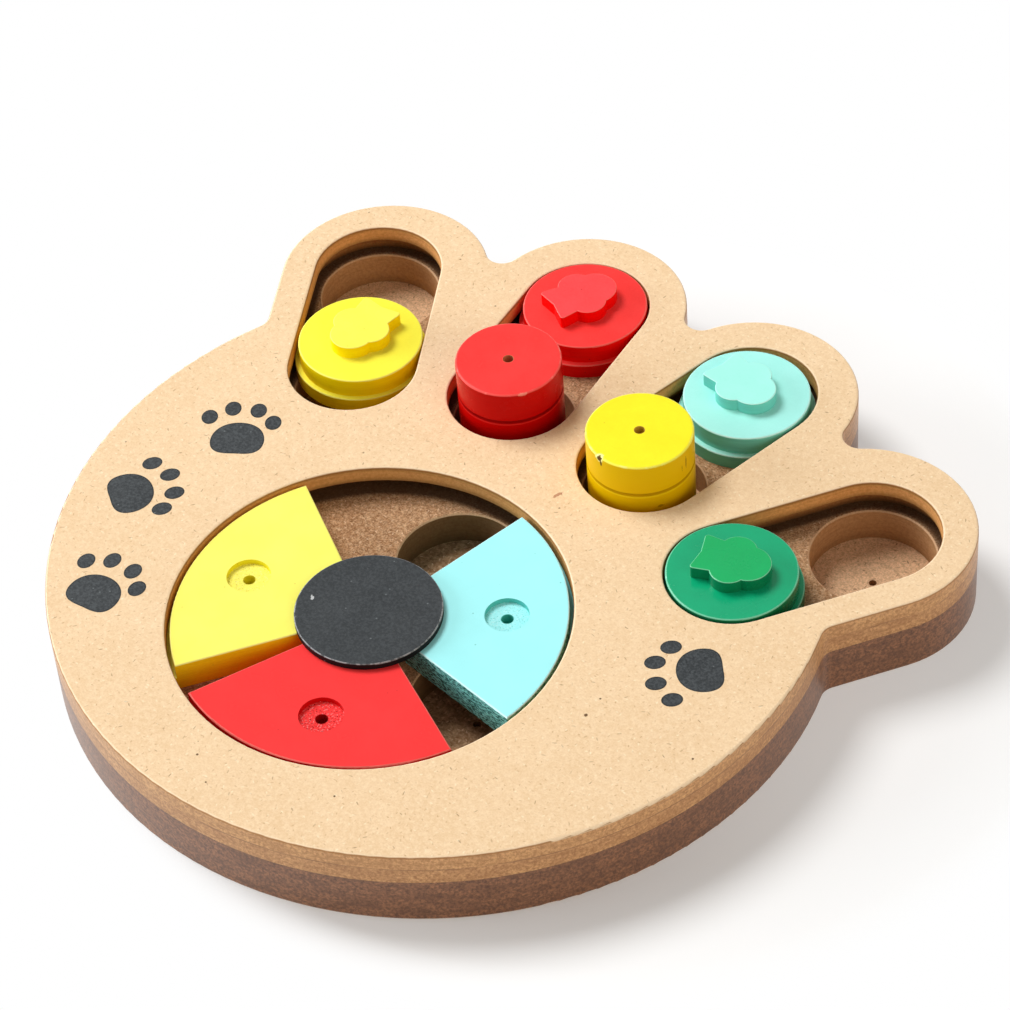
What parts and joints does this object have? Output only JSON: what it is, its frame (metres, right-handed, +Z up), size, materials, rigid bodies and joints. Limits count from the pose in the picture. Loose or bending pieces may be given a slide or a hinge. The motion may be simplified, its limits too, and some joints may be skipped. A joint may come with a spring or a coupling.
{
  "type": "dog puzzle toy",
  "caption": "Paw-shaped wooden treat puzzle for dogs: sliders and lift-out pegs in the toes and turning covers in the palm hide round treat pockets.",
  "frame": {"origin": "on the underside, under the middle of the paw's bounding box", "axes": "+Z up, +Y from the palm to the toes, +X to the right seen from above"},
  "size_m": [0.2362, 0.238, 0.0389],
  "materials": {
    "light_fibreboard": "sanded, clear",
    "dark_fibreboard": "sanded, clear",
    "yellow_paint": "satin paint",
    "red_paint": "satin paint",
    "turquoise_paint": "satin paint",
    "green_paint": "satin paint",
    "black_paint": "matt paint",
    "steel": "plain"
  },
  "bodies": {
    "board": {"base_board": "dark_fibreboard", "spacer_board": "light_fibreboard", "top_board": "light_fibreboard", "hub_post": "dark_fibreboard", "hub_cap": "black_paint", "hub_screw": "steel"},
    "yellow_slider": {"yellow_slider_runner": "yellow_paint", "yellow_slider_disc": "yellow_paint", "yellow_slider_figure": "yellow_paint", "yellow_slider_pin": "steel"},
    "red_slider": {"red_slider_runner": "red_paint", "red_slider_disc": "red_paint", "red_slider_figure": "red_paint", "red_slider_pin": "steel"},
    "turquoise_slider": {"turquoise_slider_runner": "turquoise_paint", "turquoise_slider_disc": "turquoise_paint", "turquoise_slider_figure": "turquoise_paint", "turquoise_slider_pin": "steel"},
    "green_slider": {"green_slider_runner": "green_paint", "green_slider_disc": "green_paint", "green_slider_figure": "green_paint", "green_slider_pin": "steel"},
    "red_peg": {"red_peg": "red_paint"},
    "yellow_peg": {"yellow_peg": "yellow_paint"},
    "yellow_cover": {"yellow_cover": "yellow_paint"},
    "red_cover": {"red_cover": "red_paint"},
    "turquoise_cover": {"turquoise_cover": "turquoise_paint"}
  },
  "joints": [
    {"name": "yellow_slider_slide", "type": "slide", "parent": "board", "child": "yellow_slider", "axis": [-0.518, 0.8554, 0], "range_m": [-0.0104, 0.0308]},
    {"name": "red_slider_slide", "type": "slide", "parent": "board", "child": "red_slider", "axis": [-0.1599, 0.9871, 0], "range_m": [-0.00689, 0]},
    {"name": "turquoise_slider_slide", "type": "slide", "parent": "board", "child": "turquoise_slider", "axis": [0.1599, 0.9871, 0], "range_m": [-0.00549, 0.0018]},
    {"name": "green_slider_slide", "type": "slide", "parent": "board", "child": "green_slider", "axis": [0.518, 0.8554, 0], "range_m": [0, 0.0412]},
    {"name": "red_peg_lift", "type": "slide", "parent": "board", "child": "red_peg", "axis": [0, 0, 1], "range_m": [0, 0.04]},
    {"name": "yellow_peg_lift", "type": "slide", "parent": "board", "child": "yellow_peg", "axis": [0, 0, 1], "range_m": [0, 0.04]},
    {"name": "yellow_cover_turn", "type": "hinge", "parent": "board", "child": "yellow_cover", "pos_m": [0, -0.04011, 0.015], "axis": [0, 0, 1], "range_deg": [-69.5, 10.1]},
    {"name": "red_cover_turn", "type": "hinge", "parent": "board", "child": "red_cover", "pos_m": [0, -0.04011, 0.015], "axis": [0, 0, 1], "range_deg": [-10.1, 17.6]},
    {"name": "turquoise_cover_turn", "type": "hinge", "parent": "board", "child": "turquoise_cover", "pos_m": [0, -0.04011, 0.015], "axis": [0, 0, 1], "range_deg": [-17.6, 69.5]}
  ]
}
